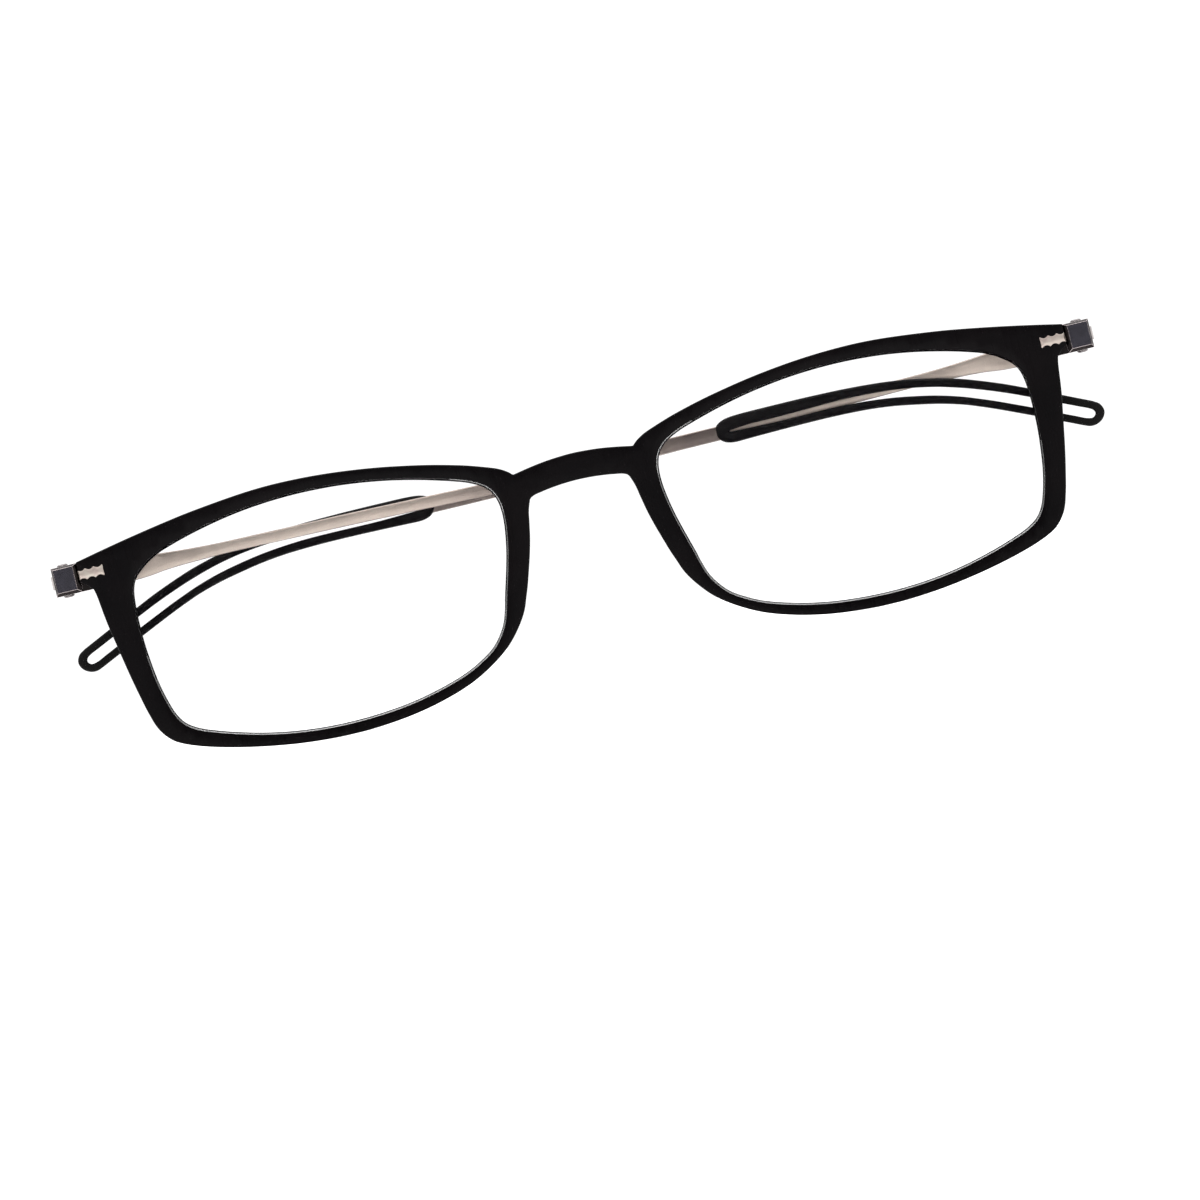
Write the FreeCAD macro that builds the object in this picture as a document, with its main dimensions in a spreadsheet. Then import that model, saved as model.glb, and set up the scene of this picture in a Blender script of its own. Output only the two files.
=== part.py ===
import FreeCAD, Part
import math
import os
import Sketcher
from FreeCAD import Vector, Placement, Rotation

# Folding reading glasses, worn upright: +X to the wearer's left, the front faces -Y,
# +Z up, lowest point of the rims at z = 0, the folded glasses' mid depth at y = 0.
# Both temples are folded behind the front. Depths in the sheet count from the
# bridge's foremost line. Millimetres.

doc = FreeCAD.newDocument("reading_glasses")

# ---------------------------------------------------------------- driving sizes
params = doc.addObject("Spreadsheet::Sheet", "params")
SIZES = [
    ("mid_depth", 4.885),         # from the bridge's foremost line to the middle of the folded depth
    ("face_radius", 560.0),       # face-form curve of the front, axis along Z
    ("front_thick", 2.4),
    ("lens_depth", 0.45),         # lens front below the front's surface
    ("lens_thick", 1.5),
    ("groove_deep", 0.35),
    ("hinge_line", 28.6),         # height of the hinge centre line above the rims' bottom
    ("tongue_thick", 0.5),
    ("pin_x", 69.15),
    ("pin_y", 6.8),
    ("pin_rad", 0.55),
    ("head_rad", 0.74),
    ("head_high", 0.3),
    ("block_in", 67.2),
    ("block_out", 70.7),
    ("block_front", 4.0),
    ("block_wall", 0.8),
    ("block_back", 8.3),
    ("block_low", -1.87),         # from the hinge line
    ("block_top", 2.05),
    ("slot_low", -0.96),
    ("slot_top", 1.14),
    ("chamfer", 0.42),
    ("end_cut", 0.5),             # the endpiece's lower corner is cut from here to the rim
    ("foot_in", 65.75),           # the block's foot, let into the back of the endpiece
    ("foot_front", 4.7),
    ("foot_back", 6.6),
    ("foot_top", 1.0),
    ("barrel_rad", 1.9),
    ("bore_rad", 0.6),
    ("knuckle_low", -0.81),
    ("knuckle_top", 0.99),
    ("washer_rad", 1.5),
    ("washer_thick", 0.12),
    ("washer_bore", 0.58),
    ("lug_end", 61.4),
    ("lug_front", 6.9),
    ("rivet_rad", 0.45),
    ("rivet_head", 0.8),
    ("rivet_proud", 0.22),
    ("rivet_a", 62.4),
    ("rivet_b", 65.2),
    ("arm_thick", 0.7),
    ("arm_left_y", 8.0),
    ("arm_right_y", 9.12),
    ("tip_thick", 1.3),
    ("tip_start", 19.3),          # the rubber tip's rounded root
    ("tang_end", 20.3),           # the strip's end inside the root
    ("drop_left", 0.0),           # how much lower each temple's far end lies
    ("drop_right", 0.42),
    ("grow_left", 0.0027),        # outlines enlarged about a point 19.07 below the hinge line
    ("grow_right", 0.0034),
]
for row, (alias, value) in enumerate(SIZES, start=1):
    params.set("A%d" % row, alias)
    params.set("B%d" % row, str(value))
    params.setAlias("B%d" % row, alias)
doc.recompute()
VAL = dict(SIZES)
ZC = VAL["hinge_line"]


def bind(obj, **rules):
    for prop, rule in rules.items():
        obj.setExpression(prop.replace("__", "."), rule)
    return obj


# ---------------------------------------------------------------- outlines, from the hinge line
BRIDGE_TOP = [(0, 0.72), (2, 0.64), (4, 0.46), (6, 0.16), (7.2, -0.06), (8.15, -0.24)]
RIM_TOP = [(8.15, -0.24), (8.6, 0.2), (9.2, 0.62), (10, 1.05), (12, 1.79), (14, 2.44), (16, 2.99),
           (18, 3.49), (20, 3.93), (22.5, 4.42), (25, 4.86), (28, 5.29), (31, 5.63), (34, 5.87),
           (37, 6.0), (40, 6.02), (43, 5.89), (46, 5.63), (49, 5.3), (52, 4.92), (56, 4.28),
           (60, 3.57), (64, 2.79), (67.2, 2.12)]
TEMPORAL = [(65.72, -1.87), (65.53, -2.8), (65.38, -4), (65.22, -5.4), (65.0, -7), (64.65, -9),
            (64.3, -11), (63.94, -13), (63.55, -15), (63.12, -17), (62.66, -19), (62.38, -20),
            (62.05, -21.1), (61.6, -22.1), (61.0, -23.0), (60.1, -23.9), (59, -24.55),
            (57, -25.36), (54.5, -26.12), (51.2, -26.92), (48, -27.55), (44, -28.15),
            (40, -28.5), (36, -28.6), (32, -28.42), (28, -27.95), (24, -27.1), (20, -25.8),
            (16.8, -24.15), (14.1, -22.2), (12.2, -20.1), (10.9, -18.1), (10.15, -16.2),
            (9.7, -15), (9.06, -13), (8.45, -11), (7.93, -9), (7.53, -7), (7.2, -5.3), (6.68, -3.82)]
BRIDGE_LOW = [(6.68, -3.82), (6.0, -3.52), (5, -3.33), (4, -3.17), (2, -2.96), (0, -2.89)]
OPENING = [(12.2, -1.0), (13, -0.45), (14.4, 0.23), (16, 0.78), (18, 1.38), (20, 1.93), (22.5, 2.53),
           (25, 3.03), (28, 3.5), (31, 3.83), (34, 4.01), (37, 4.06), (40, 3.96), (43, 3.72),
           (46, 3.32), (49, 2.76), (52, 2.06), (54, 1.5), (56, 0.85), (57.5, 0.12), (58.6, -0.6),
           (59.45, -1.3), (60.05, -2.05), (60.42, -2.9), (60.66, -4), (60.8, -5.6), (60.87, -8),
           (60.79, -10.8), (60.58, -13.2), (60.3, -15.4), (59.95, -17.2), (59.45, -19.1),
           (58.9, -20.6), (58.05, -21.9), (56.6, -22.95), (54.1, -23.95), (50.9, -24.95),
           (47.5, -25.8), (44, -26.42), (40, -26.83), (36, -26.93), (32, -26.75), (28, -26.28),
           (24, -25.42), (20.4, -24.3), (17.8, -23.05), (16.1, -21.9), (14.85, -20.5),
           (13.95, -19.0), (13.4, -17.4), (12.98, -15.8), (12.46, -14), (11.9, -12), (11.4, -10),
           (11.02, -8), (10.78, -6.2), (10.73, -4.6), (10.9, -3.2), (11.35, -2.0)]
# the strip, by distance from the middle on its own side (negative past the bridge)
ARM_TOP = [(66.7, 1.7), (64, 1.66), (61.5, 1.45), (59.5, 1.15), (57.7, 0.9), (56, 0.68), (54, 0.5),
           (52, 0.36), (49, 0.2), (46, 0.13), (43, 0.1), (40, 0.05), (34, -0.02), (28, -0.12),
           (22, -0.25), (14, -0.42), (6, -0.46), (0, -0.45), (-6, -0.42), (-13, -0.38),
           (-VAL["tang_end"], -0.37)]
ARM_LOW = [(66.7, -1.72), (64, -2.0), (61.5, -2.08), (59.5, -2.03), (57.7, -1.92), (56, -1.7),
           (54, -1.56), (52, -1.49), (49, -1.42), (46, -1.41), (43, -1.44), (40, -1.5), (34, -1.6),
           (28, -1.72), (22, -1.86), (14, -2.06), (6, -2.18), (0, -2.24), (-6, -2.27), (-13, -2.28),
           (-VAL["tang_end"], -2.25)]
# the hairpin tip, by distance past the middle on the far side
TIP_TOP = [(VAL["tip_start"], -0.62), (19.5, -0.28), (20.0, 0.1), (20.7, 0.36), (21.5, 0.5), (23, 0.59), (25, 0.62), (28, 0.64),
           (31, 0.64), (34, 0.6), (37, 0.52), (40, 0.36), (43, 0.1), (46, -0.32), (49, -0.93),
           (52, -1.7), (54, -2.36), (56, -3.1), (58, -3.89), (60, -4.77), (62.5, -5.9), (65, -7.02),
           (67, -7.94), (68.7, -8.72)]
TIP_LOW = [(66.8, -11.6), (65, -10.78), (62.5, -9.66), (60, -8.54), (58, -7.66), (56, -6.79),
           (54, -5.98), (52, -5.24), (49, -4.4), (46, -3.78), (43, -3.26), (40, -2.93), (37, -2.78),
           (34, -2.72), (31, -2.73), (28, -2.78), (25, -2.85), (23, -2.91), (21.5, -2.94),
           (20.8, -2.85), (20.1, -2.6), (19.6, -2.2), (VAL["tip_start"], -1.72)]
SLOT_TOP = [(21.2, -1.29), (22.2, -1.17), (23.5, -1.07), (25.5, -1.02), (28, -1.0), (31, -0.93), (34, -0.84),
            (37, -0.8), (40, -0.9), (43, -1.12), (46, -1.5), (49, -2.1), (52, -2.94), (54, -3.6),
            (56, -4.33), (58, -5.12), (60, -5.98), (62.5, -7.1), (65, -8.22), (66.9, -9.08),
            (68.1, -9.62)]
SLOT_LOW = [(67.5, -10.78), (66.2, -10.2), (65, -9.66), (62.5, -8.52), (60, -7.4), (58, -6.53), (56, -5.67),
            (54, -4.88), (52, -4.14), (49, -3.26), (46, -2.62), (43, -2.12), (40, -1.8), (37, -1.62),
            (34, -1.58), (31, -1.6), (28, -1.63), (25.5, -1.6), (23.5, -1.54),
            (22.2, -1.5), (21.2, -1.46)]


def catmull(points, closed, step):
    """Points along a smooth curve through the given ones."""
    n = len(points)
    out = []
    for i in range(n if closed else n - 1):
        p0 = points[(i - 1) % n] if closed or i else points[0]
        p1, p2 = points[i], points[(i + 1) % n]
        p3 = points[(i + 2) % n] if closed or i + 2 < n else points[-1]
        for k in range(step):
            t = k / step
            out.append(tuple(0.5 * (2 * b + (c - a) * t + (2 * a - 5 * b + 4 * c - d) * t * t
                                    + (3 * b - a - 3 * c + d) * t ** 3)
                             for a, b, c, d in zip(p0, p1, p2, p3)))
    if not closed:
        out.append(tuple(points[-1]))
    return out


def widened(points, by):
    """A closed clockwise loop moved outwards."""
    out = []
    n = len(points)
    for i in range(n):
        (x0, z0), (x1, z1) = points[i - 1], points[(i + 1) % n]
        dx, dz = x1 - x0, z1 - z0
        length = math.hypot(dx, dz)
        out.append((points[i][0] - dz / length * by, points[i][1] + dx / length * by))
    return out


def lift(points, side=1, drop=0.0, grow=0.0):
    """Raise points from the hinge line, mirror them to a side, lower the far end."""
    return [(side * x * (1 + grow), z + ZC + grow * (z + 19.07) - drop * (67.0 - x) / 97.0)
            for x, z in points]


def spline(points, closed=False):
    curve = Part.BSplineCurve()
    vectors = [Vector(x, z, 0) for x, z in points]
    if closed:
        curve.interpolate(Points=vectors, PeriodicFlag=True)
    else:
        curve.interpolate(Points=vectors)
    return curve


def line(p, q):
    return Part.LineSegment(Vector(p[0], p[1], 0), Vector(q[0], q[1], 0))


def plane(body, role):
    return next(f for f in body.Origin.OriginFeatures if f.Role == role)


def sketch_on(body, name, role, curves):
    sk = body.newObject("Sketcher::SketchObject", name)
    sk.AttachmentSupport = [(plane(body, role), "")]
    sk.MapMode = "FlatFace"
    for curve in curves:
        sk.addGeometry(curve, False)
    return sk


def padded(name, curves, start, thick):
    """A body whose outline lies in the XZ plane, padded towards +Y from start by thick."""
    body = doc.addObject("PartDesign::Body", name)
    sk = sketch_on(body, name + "_outline", "XZ_Plane", curves)
    bind(sk, AttachmentOffset__Base__z="params.mid_depth - (%s)" % start)
    pad = body.newObject("PartDesign::Pad", name + "_pad")
    pad.Profile = sk
    pad.Reversed = True
    bind(pad, Length=thick)
    return body


def cylinder(name, rad, high, x, y, z):
    c = doc.addObject("Part::Cylinder", name)
    return bind(c, Radius=rad, Height=high, Placement__Base__x=x,
                Placement__Base__y=y + " - params.mid_depth", Placement__Base__z=z)


def across(name, rad, high, x, y, z):
    """A cylinder along +Y."""
    c = doc.addObject("Part::Cylinder", name)
    c.Placement = Placement(Vector(0, 0, 0), Rotation(Vector(1, 0, 0), -90))
    return bind(c, Radius=rad, Height=high, Placement__Base__x=x,
                Placement__Base__y=y + " - params.mid_depth", Placement__Base__z=z)


def box(name, lx, ly, lz, x, y, z):
    b = doc.addObject("Part::Box", name)
    return bind(b, Length=lx, Width=ly, Height=lz, Placement__Base__x=x,
                Placement__Base__y=y + " - params.mid_depth", Placement__Base__z=z)


def boolean(kind, name, first, *others):
    if kind == "MultiFuse":
        f = doc.addObject("Part::MultiFuse", name)
        f.Shapes = [first] + list(others)
        f.Refine = True
        return f
    last = first
    for i, other in enumerate(others):
        b = doc.addObject("Part::" + kind, name if i == len(others) - 1 else "%s_%d" % (name, i))
        b.Base, b.Tool = last, other
        last = b
    return last


def shell(name, outer, inner):
    """A curved sheet between two depths below the front's outer surface."""
    a = cylinder(name + "_outer", outer, "80", "0", "params.face_radius", "-10")
    b = cylinder(name + "_inner", inner, "84", "0", "params.face_radius", "-12")
    return boolean("Cut", name, a, b)


nodes = {}


def node(name, obj):
    obj.Label = name
    nodes[name] = obj
    return obj


# ---------------------------------------------------------------- front
def front_outline():
    right = lift(RIM_TOP)
    left = lift(RIM_TOP, -1)
    top = lift(BRIDGE_TOP)
    top_all = [(-x, z) for x, z in reversed(top[1:])] + top
    low = lift(BRIDGE_LOW)
    low_all = low + [(-x, z) for x, z in reversed(low[:-1])]
    side = lift(TEMPORAL)
    end_top, end_low = (67.2, ZC + 2.12), (67.2, ZC - VAL["end_cut"])
    corner = side[0]
    curves = [spline(top_all), spline(right), line(end_top, end_low), line(end_low, corner),
              spline(side), spline(low_all), spline([(-x, z) for x, z in reversed(side)]),
              line((-corner[0], corner[1]), (-end_low[0], end_low[1])),
              line((-end_low[0], end_low[1]), (-end_top[0], end_top[1])),
              spline(list(reversed(left)))]
    return curves


plate = padded("front_plate", front_outline(), "-1", "15")
windows = sketch_on(plate, "lens_windows", "XZ_Plane",
                    [spline(lift(OPENING), True), spline(lift(OPENING, -1), True)])
bind(windows, AttachmentOffset__Base__z="params.mid_depth + 2")
pocket = plate.newObject("PartDesign::Pocket", "lens_windows_cut")
pocket.Profile = windows
pocket.Reversed = True
pocket.Type = 1
doc.recompute()
if plate.Shape.Volume > 0.6 * plate.Group[1].Shape.Volume:
    pocket.Reversed = False
    doc.recompute()

shell_front = shell("front_curve", "params.face_radius", "params.face_radius - params.front_thick")
shell_lens = shell("lens_curve", "params.face_radius - params.lens_depth",
                   "params.face_radius - params.lens_depth - params.lens_thick")
shell_tongue = shell("tongue_curve", "params.face_radius",
                     "params.face_radius - params.tongue_thick")
curved = boolean("Common", "front_curved", plate, shell_front)


def tongue_points(side):
    """Round valleys between narrow crests along each edge, widest at the end by the lens."""
    pts = []
    for k in range(0, 34):
        x = 67.2 - 3.3 * k / 33
        t = ((x - 63.9) / 1.15) % 1.0 * 2 - 1
        pts.append((x, 0.34 + 0.475 + 0.235 * min(t * t, 0.86) / 0.86))
    nose = [(63.81, 0.95), (63.84, 0.65), (63.86, 0.34), (63.84, 0.03), (63.81, -0.27)]
    low = [(x, 0.68 - z) for x, z in reversed(pts)]
    return lift(pts + nose + low, side)


LENS_EDGE = widened(catmull(OPENING, True, 1), VAL["groove_deep"])
tools = []
for side, name in ((-1, "left"), (1, "right")):
    blank = padded("lens_blank_" + name, [spline(lift(LENS_EDGE, side), True)], "-1", "15")
    lens = node("lens_" + name, boolean("Common", "lens_" + name, blank, shell_lens))
    pts = tongue_points(side)
    blank = padded("tongue_blank_" + name, [spline(pts), line(pts[-1], pts[0])], "-1", "15")
    tongue = node("hinge_tongue_" + name, boolean("Common", "hinge_tongue_" + name, blank, shell_tongue))
    tools += [lens, tongue]

# ---------------------------------------------------------------- hinges
for side, name in ((-1, "left"), (1, "right")):
    sign = "-" if side < 0 else ""
    px = "%sparams.pin_x" % sign
    line_z = "params.hinge_line"
    inner_x = "params.block_in" if side > 0 else "-params.block_out"
    width = "(params.block_out - params.block_in)"
    wall = box("block_wall_" + name, width, "params.block_wall",
               "params.block_top - params.block_low", inner_x, "params.block_front",
               line_z + " + params.block_low")
    doc.recompute()
    edges = [(i, 1) for i, e in enumerate(wall.Shape.Edges, start=1)
             if abs(e.BoundBox.YMax + VAL["mid_depth"] - VAL["block_front"]) < 1e-6]
    bevel = doc.addObject("Part::Chamfer", "block_bevel_" + name)
    bevel.Base = wall
    bevel.Edges = [(i, VAL["chamfer"], VAL["chamfer"]) for i, _ in edges]
    ears = []
    for part, low, high in (("upper", "params.slot_top", "params.block_top"),
                            ("lower", "params.block_low", "params.slot_low")):
        ear = box("ear_%s_%s" % (part, name), width,
                  "params.block_back - params.block_front - params.block_wall",
                  "%s - %s" % (high, low), inner_x, "params.block_front + params.block_wall",
                  "%s + %s" % (line_z, low))
        doc.recompute()
        rounds = [i for i, e in enumerate(ear.Shape.Edges, start=1)
                  if e.BoundBox.YMin + VAL["mid_depth"] > VAL["block_back"] - 1e-6
                  and e.BoundBox.ZLength > 0.5]
        soft = doc.addObject("Part::Fillet", "ear_round_%s_%s" % (part, name))
        soft.Base = ear
        soft.Edges = [(i, 1.2, 1.2) for i in rounds]
        ears.append(soft)
    foot = box("block_foot_" + name, "params.block_in - params.foot_in",
               "params.foot_back - params.foot_front", "params.foot_top - params.block_low",
               "params.foot_in" if side > 0 else "-params.block_in", "params.foot_front",
               line_z + " + params.block_low")
    tools.append(foot)
    rib = box("block_rib_" + name, "0.6",
              "params.foot_back - params.foot_front - 1", "params.slot_low - params.block_low",
              "params.block_in - 0.1" if side > 0 else "-params.block_in - 0.5",
              "params.foot_front + 0.5", line_z + " + params.block_low")
    body = boolean("MultiFuse", "block_solid_" + name, bevel, foot, rib, *ears)
    bore = cylinder("block_bore_" + name, "params.pin_rad", "8", px, "params.pin_y",
                    line_z + " - 4")
    node("hinge_block_" + name, boolean("Cut", "hinge_block_" + name, body, bore))

    # the pin: a shank with a domed head at each end, turned about its own axis
    pin = doc.addObject("PartDesign::Body", "hinge_pin_" + name)
    low, top = VAL["block_low"], VAL["block_top"]
    r, hr, hh = VAL["pin_rad"], VAL["head_rad"], VAL["head_high"]
    path = [(0, low - hh), (hr * 0.55, low - hh), (hr, low - hh * 0.35), (hr, low), (r, low),
            (r, top), (hr, top), (hr, top + hh * 0.35), (hr * 0.55, top + hh), (0, top + hh)]
    curves = []
    for i, (p, q) in enumerate(zip(path, path[1:])):
        if i == 1:
            curves.append(Part.Arc(Vector(p[0], p[1], 0), Vector(hr * 0.86, low - hh * 0.8, 0),
                                   Vector(q[0], q[1], 0)))
        elif i == 7:
            curves.append(Part.Arc(Vector(p[0], p[1], 0), Vector(hr * 0.86, top + hh * 0.8, 0),
                                   Vector(q[0], q[1], 0)))
        else:
            curves.append(line(p, q))
    curves.append(line(path[-1], path[0]))
    sk = sketch_on(pin, "pin_profile_" + name, "XZ_Plane", curves)
    turn = pin.newObject("PartDesign::Revolution", "pin_turn_" + name)
    turn.Profile = sk
    turn.ReferenceAxis = (plane(pin, "Z_Axis"), [""])
    turn.Angle = 360
    bind(pin, Placement__Base__x=px, Placement__Base__y="params.pin_y - params.mid_depth",
         Placement__Base__z=line_z)
    node("hinge_pin_" + name, pin)

    for part, at in (("upper", "params.slot_top - params.washer_thick"),
                     ("lower", "params.slot_low")):
        tag = "hinge_washer_%s_%s" % (part, name)
        disc = cylinder(tag + "_disc", "params.washer_rad", "params.washer_thick", px,
                        "params.pin_y", line_z + " + " + at)
        hole = cylinder(tag + "_hole", "params.washer_bore", "3 * params.washer_thick", px,
                        "params.pin_y", line_z + " + " + at + " - params.washer_thick")
        node(tag, boolean("Cut", tag, disc, hole))

    # the knuckle: a barrel on the pin and a lug that carries the strip
    arm_front = "params.arm_%s_y - params.arm_thick / 2" % name
    high = "params.knuckle_top - params.knuckle_low"
    low_z = line_z + " + params.knuckle_low"
    barrel = cylinder("barrel_" + name, "params.barrel_rad", high, px, "params.pin_y", low_z)
    lug = box("lug_" + name, "params.pin_x - params.lug_end",
              "%s - params.lug_front" % arm_front, high,
              "params.lug_end" if side > 0 else "-params.pin_x", "params.lug_front", low_z)
    solid = boolean("MultiFuse", "knuckle_solid_" + name, barrel, lug)
    cuts = [cylinder("knuckle_bore_" + name, "params.bore_rad", "6", px, "params.pin_y",
                     line_z + " - 3")]
    for which in ("a", "b"):
        cuts.append(across("lug_hole_%s_%s" % (which, name), "params.rivet_rad", "12",
                           "%sparams.rivet_%s" % (sign, which), "2", line_z + " + 0.09"))
    node("temple_knuckle_" + name, boolean("Cut", "temple_knuckle_" + name, solid, *cuts))

    for which, tag in (("a", "inner"), ("b", "outer")):
        tag = "temple_rivet_%s_%s" % (tag, name)
        rx = "%sparams.rivet_%s" % (sign, which)
        shank = across(tag + "_shank", "params.rivet_rad",
                       "params.arm_%s_y + params.arm_thick / 2 - params.lug_front" % name, rx,
                       "params.lug_front", line_z + " + 0.09")
        head = across(tag + "_head", "params.rivet_head", "params.rivet_proud", rx,
                      "params.arm_%s_y + params.arm_thick / 2" % name, line_z + " + 0.09")
        doc.recompute()
        rim = [i for i, e in enumerate(head.Shape.Edges, start=1)
               if e.BoundBox.YMin > head.Shape.BoundBox.YMax - 1e-6 and e.Length > 1]
        dome = doc.addObject("Part::Fillet", tag + "_dome")
        dome.Base = head
        dome.Edges = [(i, 0.14, 0.14) for i in rim]
        node(tag, boolean("MultiFuse", tag, shank, dome))

node("front_frame", boolean("Cut", "front_frame", curved, *tools))

# ---------------------------------------------------------------- temples
for side, name in ((-1, "left"), (1, "right")):
    drop, grow = VAL["drop_" + name], VAL["grow_" + name]
    top = lift(ARM_TOP, side, drop, grow)
    low = lift(ARM_LOW, side, drop, grow)
    curves = [spline(top), line(top[-1], low[-1]), spline(list(reversed(low))),
              line(low[0], top[0])]
    for which in ("a", "b"):
        curves.append(Part.Circle(Vector(side * VAL["rivet_" + which], ZC + 0.09, 0),
                                  Vector(0, 0, 1), VAL["rivet_rad"]))
    arm = padded("temple_arm_" + name, curves,
                 "params.arm_%s_y - params.arm_thick / 2" % name, "params.arm_thick")
    node("temple_arm_" + name, arm)

    far = lambda pts: lift([(-x, z) for x, z in pts], side, drop, grow)
    top, low = far(TIP_TOP), far(TIP_LOW)
    nose = far([(68.7, -8.72), (69.6, -9.35), (69.97, -10.35), (69.55, -11.3), (68.6, -11.88),
                (67.7, -11.93), (66.8, -11.6)])
    slot_end = far([(68.1, -9.62), (68.6, -9.98), (68.74, -10.45), (68.3, -10.88), (67.5, -10.78)])
    slot_start = far([(21.2, -1.46), (20.95, -1.38), (21.2, -1.29)])
    curves = [spline(top), spline(nose), spline(low), line(low[-1], top[0]),
              spline(far(SLOT_TOP)), spline(slot_end), spline(far(SLOT_LOW)),
              spline(slot_start)]
    blank = padded("tip_blank_" + name, curves,
                   "params.arm_%s_y - params.tip_thick / 2" % name, "params.tip_thick")
    top = lift(ARM_TOP, side, drop, grow)
    low = lift(ARM_LOW, side, drop, grow)
    socket = padded("tip_socket_" + name, [spline(top), line(top[-1], low[-1]),
                                           spline(list(reversed(low))), line(low[0], top[0])],
                    "params.arm_%s_y - params.arm_thick / 2" % name, "params.arm_thick")
    node("temple_tip_" + name, boolean("Cut", "temple_tip_" + name, blank, socket))

# ---------------------------------------------------------------- check and write
doc.recompute()
for obj in doc.Objects:
    if {"Invalid", "Error"} & set(obj.State):
        raise RuntimeError("failed object " + obj.Name + " " + str(obj.State))
for name, obj in nodes.items():
    shape = obj.Shape
    if shape.isNull() or not shape.isValid() or len(shape.Solids) != 1:
        raise RuntimeError("bad shape %s solids %d" % (name, len(shape.Solids)))
os.makedirs("parts", exist_ok=True)
for name, obj in nodes.items():
    obj.Shape.exportStep("parts/%s.step" % name)
print(len(nodes), "nodes written")
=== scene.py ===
import bpy, bmesh, math
import numpy as np
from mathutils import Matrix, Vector
from mathutils.geometry import delaunay_2d_cdt

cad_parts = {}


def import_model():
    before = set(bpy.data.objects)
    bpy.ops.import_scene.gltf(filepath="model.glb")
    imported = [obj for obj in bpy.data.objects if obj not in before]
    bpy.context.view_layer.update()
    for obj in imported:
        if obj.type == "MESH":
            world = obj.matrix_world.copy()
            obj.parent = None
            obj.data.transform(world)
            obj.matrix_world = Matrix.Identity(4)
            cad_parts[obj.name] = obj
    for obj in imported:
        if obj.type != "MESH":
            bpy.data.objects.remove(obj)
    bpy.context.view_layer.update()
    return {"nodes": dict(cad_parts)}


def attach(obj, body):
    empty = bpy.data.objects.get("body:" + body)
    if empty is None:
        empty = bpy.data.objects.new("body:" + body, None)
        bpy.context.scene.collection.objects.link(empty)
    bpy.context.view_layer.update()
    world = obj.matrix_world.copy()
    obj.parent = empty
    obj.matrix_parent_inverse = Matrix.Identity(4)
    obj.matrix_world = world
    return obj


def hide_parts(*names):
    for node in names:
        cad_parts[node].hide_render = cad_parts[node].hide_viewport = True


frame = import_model()

# ------------------------------------------------------------------ sizes, mm, as in the CAD
MM = 0.001
ZC = 28.6                 # hinge line above the rims' lowest point
MID = 4.885               # bridge's foremost line in front of y = 0
R_FACE = 560.0
T_FRONT = 2.4
LENS_DEPTH, LENS_THICK = 0.45, 1.5
PIN_X, PIN_Y = 69.15, 6.8 - MID
ARM_T, TIP_T = 0.7, 1.3
ARM_Y = {"left": 8.0 - MID, "right": 9.12 - MID}
DROP = {"left": 0.0, "right": 0.42}
GROW = {"left": 0.0027, "right": 0.0034}
SIDE = {"left": -1, "right": 1}

BRIDGE_TOP = [(0, 0.72), (2, 0.64), (4, 0.46), (6, 0.16), (7.2, -0.06), (8.15, -0.24)]
RIM_TOP = [(8.15, -0.24), (8.6, 0.2), (9.2, 0.62), (10, 1.05), (12, 1.79), (14, 2.44), (16, 2.99),
           (18, 3.49), (20, 3.93), (22.5, 4.42), (25, 4.86), (28, 5.29), (31, 5.63), (34, 5.87),
           (37, 6.0), (40, 6.02), (43, 5.89), (46, 5.63), (49, 5.3), (52, 4.92), (56, 4.28),
           (60, 3.57), (64, 2.79), (67.2, 2.12)]
TEMPORAL = [(65.72, -1.87), (65.53, -2.8), (65.38, -4), (65.22, -5.4), (65.0, -7), (64.65, -9),
            (64.3, -11), (63.94, -13), (63.55, -15), (63.12, -17), (62.66, -19), (62.38, -20),
            (62.05, -21.1), (61.6, -22.1), (61.0, -23.0), (60.1, -23.9), (59, -24.55),
            (57, -25.36), (54.5, -26.12), (51.2, -26.92), (48, -27.55), (44, -28.15),
            (40, -28.5), (36, -28.6), (32, -28.42), (28, -27.95), (24, -27.1), (20, -25.8),
            (16.8, -24.15), (14.1, -22.2), (12.2, -20.1), (10.9, -18.1), (10.15, -16.2),
            (9.7, -15), (9.06, -13), (8.45, -11), (7.93, -9), (7.53, -7), (7.2, -5.3), (6.68, -3.82)]
BRIDGE_LOW = [(6.68, -3.82), (6.0, -3.52), (5, -3.33), (4, -3.17), (2, -2.96), (0, -2.89)]
OPENING = [(12.2, -1.0), (13, -0.45), (14.4, 0.23), (16, 0.78), (18, 1.38), (20, 1.93), (22.5, 2.53),
           (25, 3.03), (28, 3.5), (31, 3.83), (34, 4.01), (37, 4.06), (40, 3.96), (43, 3.72),
           (46, 3.32), (49, 2.76), (52, 2.06), (54, 1.5), (56, 0.85), (57.5, 0.12), (58.6, -0.6),
           (59.45, -1.3), (60.05, -2.05), (60.42, -2.9), (60.66, -4), (60.8, -5.6), (60.87, -8),
           (60.79, -10.8), (60.58, -13.2), (60.3, -15.4), (59.95, -17.2), (59.45, -19.1),
           (58.9, -20.6), (58.05, -21.9), (56.6, -22.95), (54.1, -23.95), (50.9, -24.95),
           (47.5, -25.8), (44, -26.42), (40, -26.83), (36, -26.93), (32, -26.75), (28, -26.28),
           (24, -25.42), (20.4, -24.3), (17.8, -23.05), (16.1, -21.9), (14.85, -20.5),
           (13.95, -19.0), (13.4, -17.4), (12.98, -15.8), (12.46, -14), (11.9, -12), (11.4, -10),
           (11.02, -8), (10.78, -6.2), (10.73, -4.6), (10.9, -3.2), (11.35, -2.0)]
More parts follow.
